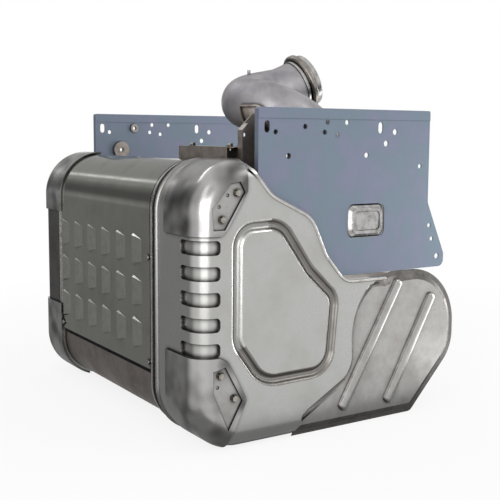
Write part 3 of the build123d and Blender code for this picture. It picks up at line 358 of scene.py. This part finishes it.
def slopePad(piece, name):  # sloping flanks round the pressed pad
    chooseCorners(piece, lambda spot: spot.y < padShape["plane"][name])
    centreX, centreZ = padShape["centre"]
    bpy.ops.transform.resize(value=padShape["shrink"], center_override=(centreX, 0.0, centreZ))
    bpy.ops.object.mode_set(mode="OBJECT")


louvreShape = {"proud": -0.3996, "round": 0.0022, "steps": 3}


def softenLouvres(piece, name):  # rounded brows on the louvres
    chooseCorners(piece, lambda spot: spot.x < louvreShape["proud"])
    bpy.ops.mesh.bevel(offset=louvreShape["round"], segments=louvreShape["steps"], affect="EDGES")
    bpy.ops.object.mode_set(mode="OBJECT")


rimShape = {"cut": -0.2655, "beadStart": -0.2555}
shieldShadowStrip = {"low": 0.1405, "high": 0.1535}


def cutAcross(piece, spot, normal):
    bpy.ops.object.mode_set(mode="EDIT")
    bpy.ops.mesh.select_all(action="SELECT")
    bpy.ops.mesh.bisect(plane_co=spot, plane_no=normal)
    bpy.ops.object.mode_set(mode="OBJECT")


def cutRim(piece, name):  # so that the recess beside the bead can have a coat of its own
    cutAcross(piece, (0.0, rimShape["cut"], 0.0), (0.0, 1.0, 0.0))


def cutShell(piece, name):  # so that the strip under the shield's edge can carry the painted shadow
    for height in (shieldShadowStrip["low"], shieldShadowStrip["high"]):
        cutAcross(piece, (0.0, 0.0, height), (0.0, 0.0, 1.0))


seamShape = {"round": 0.007, "steps": 4, "sharpAngle": 60, "front": -0.4785, "left": -0.12,
             "low": 0.03, "high": 0.362}


def roundSeam(piece, name):  # the cap's edge over the lobe cover rolls inward
    bpy.ops.object.mode_set(mode="EDIT")
    bpy.ops.mesh.select_mode(type="EDGE")
    bpy.ops.mesh.select_all(action="DESELECT")
    bpy.ops.mesh.edges_select_sharp(sharpness=math.radians(seamShape["sharpAngle"]))
    bpy.ops.object.mode_set(mode="OBJECT")
    mesh = piece.data

    def onSeam(spot):
        return (spot.y < seamShape["front"] and spot.x > seamShape["left"]
                and seamShape["low"] < spot.z < seamShape["high"])

    for edge in mesh.edges:
        edge.select = edge.select and all(onSeam(mesh.vertices[i].co) for i in edge.vertices)
    bpy.ops.object.mode_set(mode="EDIT")
    bpy.ops.mesh.bevel(offset=seamShape["round"], segments=seamShape["steps"], affect="EDGES",
                       loop_slide=False)
    bpy.ops.mesh.select_mode(type="VERT")
    bpy.ops.object.mode_set(mode="OBJECT")
    for corner in mesh.vertices:  # the rounding ends on the floor, not below it
        corner.co.z = max(corner.co.z, 0.0)


shapers = {"near_end_cap": roundSeam, "near_rim_band": cutRim, "body_shell": cutShell,
           "near_lobe_cover": stretchRibs, "far_lobe_cover": stretchRibs, "near_plate_pad": slopePad,
           "far_plate_pad": slopePad, "side_shield": softenLouvres}


# Where second coats lie, most of them painted highlight and painted shade. Each rule gets the middle of
# a face and the way it points; places are in metres in the frame, and leans and tilts are parts of its
# direction.
grooveCoat = {"reach": 0.03, "shoulder": -0.4788, "shadedDepth": -0.462, "litDepth": -0.4735,
              "shadedRun": [(-0.175, 0.521), (-0.092, 0.405), (-0.017, 0.335), (-0.032, 0.155),
                         (-0.225, 0.152), (-0.262, 0.203)],
              "litRun": [(-0.262, 0.203), (-0.296, 0.25), (-0.296, 0.517), (-0.175, 0.521)]}
hemCoat = {"front": -0.4793}
seamCoat = {"front": -0.4685, "left": -0.14, "high": 0.365, "lean": 0.15, "flat": 0.985}
lobeCoat = {"flangeDrop": 0.0085, "slopeDrop": 0.0014, "slopeLean": 0.25, "ribLift": 0.0002,
            "footTilt": 0.84, "footLean": 0.25, "footRise": 0.6, "browTilt": (0.3, 0.985),
            "browLean": 0.16}
cornerPadCoat = {"floor": (0.4800, 0.4825), "flat": 0.98}
louvreCoat = {"top": -0.4003}
sideCoat = {"shadowLean": 0.5, "skirtLean": 0.9}


def alongLine(spot, line, reach):
    flat = Vector((spot.x, spot.z))
    for first, last in zip(line, line[1:]):
        run = Vector(last) - Vector(first)
        along = min(max((flat - Vector(first)).dot(run) / run.length_squared, 0.0), 1.0)
        if (flat - Vector(first) - run * along).length < reach:
            return True
    return False


def inShadedGroove(spot, out):  # floor and flanks of the groove along its right and lower run: painted shade
    return (grooveCoat["shoulder"] < spot.y < grooveCoat["shadedDepth"]
            and alongLine(spot, grooveCoat["shadedRun"], grooveCoat["reach"]))


def onLitShoulder(spot, out):  # both shoulders of the groove along its left and upper run: painted highlight
    return (grooveCoat["shoulder"] < spot.y < grooveCoat["litDepth"]
            and alongLine(spot, grooveCoat["litRun"], grooveCoat["reach"]))


def onHem(spot, out):  # hem along the end cap's shoulder: painted highlight
    return spot.y < hemCoat["front"]


def onSeamRound(spot, out):  # rounded edge of the end cap where it laps the lobe cover: painted shade
    return (spot.y < seamCoat["front"] and spot.x > seamCoat["left"] and spot.z < seamCoat["high"]
            and out.x > seamCoat["lean"] and out.y > -seamCoat["flat"])


def lobePatches(plane):  # painted shade on the flange and the ribs' left feet, painted highlight on the ribs' right flanks
    ribFace = plane + lobeCoat["ribLift"]
    browLow, browHigh = lobeCoat["browTilt"]

    def onFlange(spot, out):
        return (abs(spot.y) < plane - lobeCoat["flangeDrop"]
                or abs(spot.y) < plane - lobeCoat["slopeDrop"] and abs(out.z) > lobeCoat["slopeLean"])

    def onRibFoot(spot, out):
        return (abs(spot.y) > ribFace and abs(out.y) < lobeCoat["footTilt"]
                and (out.x < -lobeCoat["footLean"] or out.z > lobeCoat["footRise"]))

    def onRibBrow(spot, out):
        return (abs(spot.y) > ribFace and browLow < abs(out.y) < browHigh
                and out.x > lobeCoat["browLean"])

    return [("edgeShadeStainless", onFlange), ("edgeShadeStainless", onRibFoot),
            ("rubbedStainless", onRibBrow)]


def onSunkPad(spot, out):  # floor of a corner cap's sunk pad
    low, high = cornerPadCoat["floor"]
    return low < abs(spot.y) < high and abs(out.y) > cornerPadCoat["flat"]


def onLouvre(spot, out):  # tops of the louvres: painted highlight
    return spot.x < louvreCoat["top"]


def onBead(spot, out):  # bead of the rim band next to the shield: painted highlight
    return spot.y > rimShape["beadStart"]


def besideBead(spot, out):  # front part of the rim band, up to the cut, left grey without the painted shade
    return spot.y < rimShape["cut"]


def inShieldShadow(spot, out):  # strip of skin under the shield's edge: painted shadow
    return shieldShadowStrip["low"] < spot.z < shieldShadowStrip["high"] and out.x < -sideCoat["shadowLean"]


def onFarSkirt(spot, out):  # side of the far end cap: painted shade
    return out.x < -sideCoat["skirtLean"]


# second coats of a piece: material and rule, and a later one lies over an earlier one
secondCoats = {
    "near_end_cap": [("edgeShadeStainless", onSeamRound), ("beadHighlightStainless", onHem),
                     ("rubbedStainless", onLitShoulder), ("shadedGrooveStainless", inShadedGroove)],
    "far_end_cap": [("shadedSkirtStainless", onFarSkirt)],
    "near_rim_band": [("beadHighlightStainless", onBead), ("tubeStainless", besideBead)],
    "body_shell": [("shieldShadowStainless", inShieldShadow)],
    "side_shield": [("louvreHighlightStainless", onLouvre)],
}
for lobeName, lobePlane in ribShape["plane"].items():
    secondCoats[lobeName] = lobePatches(lobePlane)
for cornerName in ("near_upper", "near_lower", "far_upper", "far_lower"):
    secondCoats[cornerName + "_corner_cap"] = [("wipedStainless", onSunkPad)]

# metres within which corners are merged, degrees below which faces count as flat, steps of a round
cleaning = {"mergeReach": 0.00002, "flatAngle": 0.6, "roundSteps": 2}


def dressNode(name, materialName, edgeRound, sharpAngle):
    mesh = nodes[name].data.copy()
    piece = bpy.data.objects.new(name + "_finished", mesh)
    bpy.context.scene.collection.objects.link(piece)
    bpy.ops.object.select_all(action="DESELECT")
    piece.select_set(True)
    bpy.context.view_layer.objects.active = piece
    bpy.ops.object.mode_set(mode="EDIT")
    bpy.ops.mesh.select_all(action="SELECT")
    bpy.ops.mesh.remove_doubles(threshold=cleaning["mergeReach"])
    bpy.ops.mesh.customdata_custom_splitnormals_clear()
    bpy.ops.mesh.dissolve_limited(angle_limit=math.radians(cleaning["flatAngle"]))
    bpy.ops.object.mode_set(mode="OBJECT")
    if name in shapers:
        shapers[name](piece, name)
    if edgeRound:
        bevel = piece.modifiers.new("edgeRound", "BEVEL")
        bevel.width = edgeRound / 1000
        bevel.segments = cleaning["roundSteps"]
        bevel.limit_method = "ANGLE"
        bevel.angle_limit = math.radians(sharpAngle)
        bpy.ops.object.modifier_apply(modifier="edgeRound")
    bpy.ops.object.shade_smooth_by_angle(angle=math.radians(sharpAngle))
    piece.modifiers.new("flatFaces", "WEIGHTED_NORMAL").keep_sharp = True
    bpy.ops.object.modifier_apply(modifier="flatFaces")
    mesh.materials.clear()
    mesh.materials.append(plateCoat if materialName == "plate" else steel[materialName])
    for index, (coat, chosen) in enumerate(secondCoats.get(name, []), 1):
        mesh.materials.append(steel[coat])
        for face in mesh.polygons:
            if chosen(face.center, face.normal):
                face.material_index = index
    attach(piece, "root")
    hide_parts(name)


for name, look in dressing.items():
    dressNode(name, *look)
print("pieces finished over the frame:", len(dressing))

innerLooks = {"oxidation_catalyst": catalystCeramic, "lower_scr_catalyst": catalystCeramic,
              "upper_scr_catalyst": catalystCeramic, "particulate_filter": filterCeramic,
              "filter_mats": fibreMat, "lower_scr_mat": fibreMat, "upper_scr_mat": fibreMat,
              "insulation_mat": fibreMat}
for name, node in nodes.items():
    if name not in dressing:
        node.data.materials.clear()
        node.data.materials.append(innerLooks.get(name, steel["innerStainless"]))
print("inner nodes given their materials")


# the floor is paint to diffuse rays and glows white to the rest, less near the part, where its
# shadow shows
floorLook = {"size": 80.0, "colour": "#e6e6e6", "nearGlow": 0.85, "glowReach": (0.8, 2.2)}
bpy.ops.mesh.primitive_plane_add(size=floorLook["size"], location=(0, 0, 0))
floor = bpy.context.object
floor.name = "studioFloor"
floorMaterial, floorTree, floorPlace = startMaterial("mattPaintedFloor")
rays = addNode(floorTree, "ShaderNodeLightPath")
direct = addNode(floorTree, "ShaderNodeMath", {"operation": "MAXIMUM"},
                 {0: rays.outputs["Is Camera Ray"], 1: rays.outputs["Is Glossy Ray"]})
shown = addNode(floorTree, "ShaderNodeMath", {"operation": "MAXIMUM"},
                {0: direct.outputs[0], 1: rays.outputs["Is Transmission Ray"]})
away = addNode(floorTree, "ShaderNodeVectorMath", {"operation": "LENGTH"}, {0: floorPlace})
reach = addNode(floorTree, "ShaderNodeMapRange", {"From Min": floorLook["glowReach"][0],
                "From Max": floorLook["glowReach"][1], "To Min": floorLook["nearGlow"]},
                {"Value": away.outputs["Value"]})
lifted = addNode(floorTree, "ShaderNodeMath", {"operation": "MULTIPLY"},
                 {0: shown.outputs[0], 1: reach.outputs[0]})
paint = addNode(floorTree, "ShaderNodeBsdfDiffuse", {"Color": linearColour(floorLook["colour"])})
glow = addNode(floorTree, "ShaderNodeEmission", {"Color": (1, 1, 1, 1), "Strength": 1.0})
lift = addNode(floorTree, "ShaderNodeMixShader", None,
               {0: lifted.outputs[0], 1: paint.outputs[0], 2: glow.outputs[0]})
finishMaterial(floorTree, lift)
floor.data.materials.append(floorMaterial)

skyLook = {"diffuse": 0.8}
world = bpy.data.worlds.new("softStudio")
bpy.context.scene.world = world
world.use_nodes = True
worldTree = world.node_tree
worldTree.nodes.clear()
skyRays = addNode(worldTree, "ShaderNodeLightPath")
skyLevel = addNode(worldTree, "ShaderNodeMix", {"data_type": "FLOAT", 2: 1.0, 3: skyLook["diffuse"]},
                   {0: skyRays.outputs["Is Diffuse Ray"]})
sky = addNode(worldTree, "ShaderNodeBackground", {"Color": (1, 1, 1, 1)},
              {"Strength": skyLevel.outputs[0]})
addNode(worldTree, "ShaderNodeOutputWorld", None, {"Surface": sky.outputs[0]})

# centre: the box's upper left corner, across and up in metres; levels: brightness of the cards
# by the angle in degrees round it
cardLook = {"centre": (-0.36, 0.6), "span": (-30.0, 180.0), "peak": 1.6, "behind": 0.4,
            "fade": (0.1, 1.0), "rightFrom": -0.6,
            "levels": [(-30, 0.30), (-12, 0.30), (-5, 0.45), (2, 0.34), (10, 0.16), (24, 0.16),
                       (38, 0.30), (46, 0.50), (55, 0.50), (58, 1.50), (62, 1.50), (65, 0.50),
                       (77, 0.55), (82, 1.30), (90, 1.30), (96, 0.60), (125, 0.60), (150, 0.45)]}
cardMaterial, cardTree, cardPlace = startMaterial("paperCards")  # paper panels: only metal sees them
axes = addNode(cardTree, "ShaderNodeSeparateXYZ", None, {0: cardPlace})
outward = addNode(cardTree, "ShaderNodeMath", {"operation": "SUBTRACT", 0: cardLook["centre"][0]},
                  {1: axes.outputs["X"]})
upward = addNode(cardTree, "ShaderNodeMath", {"operation": "SUBTRACT", 1: cardLook["centre"][1]},
                 {0: axes.outputs["Z"]})
angle = addNode(cardTree, "ShaderNodeMath", {"operation": "ARCTAN2"},
                {0: upward.outputs[0], 1: outward.outputs[0]})
spanLow, spanHigh = cardLook["span"]
spread = addNode(cardTree, "ShaderNodeMapRange", {"From Min": math.radians(spanLow),
                 "From Max": math.radians(spanHigh)}, {"Value": angle.outputs[0]})
levels = addNode(cardTree, "ShaderNodeValToRGB", None, {"Fac": spread.outputs[0]})
stops = levels.color_ramp.elements
for index, (degrees, level) in enumerate(cardLook["levels"]):
    stop = stops[index] if index < 1 else stops.new(0.5)
    stop.position = (degrees - spanLow) / (spanHigh - spanLow)
    stop.color = [level / cardLook["peak"]] * 3 + [1.0]
glowing = addNode(cardTree, "ShaderNodeEmission", {"Strength": cardLook["peak"]},
                  {"Color": levels.outputs["Color"]})
# left of the box the cards fade out towards the front, so that no hard edge shows in the metal
behind = addNode(cardTree, "ShaderNodeMath", {"operation": "ADD", 1: cardLook["behind"]},
                 {0: axes.outputs["Y"]})
turn = addNode(cardTree, "ShaderNodeMath", {"operation": "DIVIDE"},
               {0: behind.outputs[0], 1: outward.outputs[0]})
edgeFade = addNode(cardTree, "ShaderNodeMapRange", {"From Min": cardLook["fade"][0],
                   "From Max": cardLook["fade"][1]}, {"Value": turn.outputs[0]})
rightSide = addNode(cardTree, "ShaderNodeMath",
                    {"operation": "GREATER_THAN", 1: cardLook["rightFrom"]}, {0: axes.outputs["X"]})
fade = addNode(cardTree, "ShaderNodeMath", {"operation": "MAXIMUM"},
               {0: edgeFade.outputs[0], 1: rightSide.outputs[0]})
gauze = addNode(cardTree, "ShaderNodeBsdfTransparent")
cardMix = addNode(cardTree, "ShaderNodeMixShader", None,
                  {0: fade.outputs[0], 1: gauze.outputs[0], 2: glowing.outputs[0]})
finishMaterial(cardTree, cardMix)

panelLook = {"glow": 2.6}
panelMaterial, panelTree = startMaterial("whiteFloorPanel")[:2]  # lights the ribs' right flanks
panelGlow = addNode(panelTree, "ShaderNodeEmission", {"Strength": panelLook["glow"]})
finishMaterial(panelTree, panelGlow)


def addCard(name, corners, material):
    mesh = bpy.data.meshes.new(name)
    mesh.from_pydata(corners, [], [(0, 1, 2, 3)])
    card = bpy.data.objects.new(name, mesh)
    bpy.context.scene.collection.objects.link(card)
    mesh.materials.append(material)
    card.visible_camera = False
    card.visible_shadow = False
    card.visible_diffuse = False


def wallCorners(start, end, high):  # a card that stands on the floor between two points
    return [(*start, 0.0), (*end, 0.0), (*end, high), (*start, high)]


def floorCorners(first, last, height):  # a card that lies flat between two corners
    return [(first[0], first[1], height), (last[0], first[1], height),
            (last[0], last[1], height), (first[0], last[1], height)]


cards = {
    "sideCard": (wallCorners((-3.6, 0.8), (-0.6, 3.4), 4.2), cardMaterial),
    "backCard": (wallCorners((-0.6, 3.4), (3.2, 3.4), 4.2), cardMaterial),
    "ribPanel": (floorCorners((0.62, -0.95), (1.6, -0.35), 0.003), panelMaterial),
    "floorCard": (floorCorners((-3.6, -0.60), (0.5, 3.4), 0.004), cardMaterial),
}
for name, (corners, material) in cards.items():
    addCard(name, corners, material)


def addSoftbox(name, place, aim, size, watts):
    lamp = bpy.data.lights.new(name, "AREA")
    lamp.shape = "RECTANGLE"
    lamp.size, lamp.size_y = size
    lamp.energy = watts
    box = bpy.data.objects.new(name, lamp)
    bpy.context.scene.collection.objects.link(box)
    box.location = place
    box.rotation_euler = (Vector(aim) - Vector(place)).to_track_quat("-Z", "Y").to_euler()


# place, aim, width and height in metres, watts
softboxes = {
    "keySoftbox": ((-2.4, -1.9, 2.0), (-0.3, -0.3, 0.4), (0.9, 1.6), 10),
    "rimSoftbox": ((1.6, -2.4, 2.4), (0.2, -0.4, 0.4), (0.8, 1.2), 12),
    "edgeSoftbox": ((-1.75, -2.3, 0.75), (-0.35, -0.42, 0.35), (2.2, 1.5), 28),
    "stripSoftbox": ((2.3, -1.1, 0.3), (0.1, -0.47, 0.3), (0.9, 0.8), 13),
    "lowSoftbox": ((1.8, -0.8, 0.3), (0.2, -0.47, 0.25), (0.8, 0.7), 4.4),
    "backSoftbox": ((-0.8, 1.6, 2.6), (-0.2, 0, 0.6), (1.6, 0.4), 6),
}
for name, look in softboxes.items():
    addSoftbox(name, *look)

view = {"place": (-1.3624, -2.1717, 0.7230), "right": (0.8424, -0.5389, 0.0),
        "ahead": (0.5354, 0.8370, -0.1134), "roll": 0.313, "lens": 64.48, "sensorWidth": 36.0,
        "shift": (0.0123, -0.0236), "clipEnd": 200.0}
camera = bpy.data.objects.new("studioCamera", bpy.data.cameras.new("studioCamera"))
bpy.context.scene.collection.objects.link(camera)
ahead = Vector(view["ahead"]).normalized()
right = Vector(view["right"]).normalized()
up = right.cross(ahead)
roll = math.radians(view["roll"])
turnedRight = right * math.cos(roll) + up * math.sin(roll)
turnedUp = up * math.cos(roll) - right * math.sin(roll)
camera.matrix_world = Matrix.Translation(view["place"]) @ Matrix(
    (turnedRight, turnedUp, -ahead)).transposed().to_4x4()
camera.data.sensor_width = view["sensorWidth"]
camera.data.lens = view["lens"]
camera.data.shift_x, camera.data.shift_y = view["shift"]
camera.data.clip_end = view["clipEnd"]
bpy.context.scene.camera = camera
bpy.context.scene.view_settings.view_transform = "Standard"
print("studio and camera set")
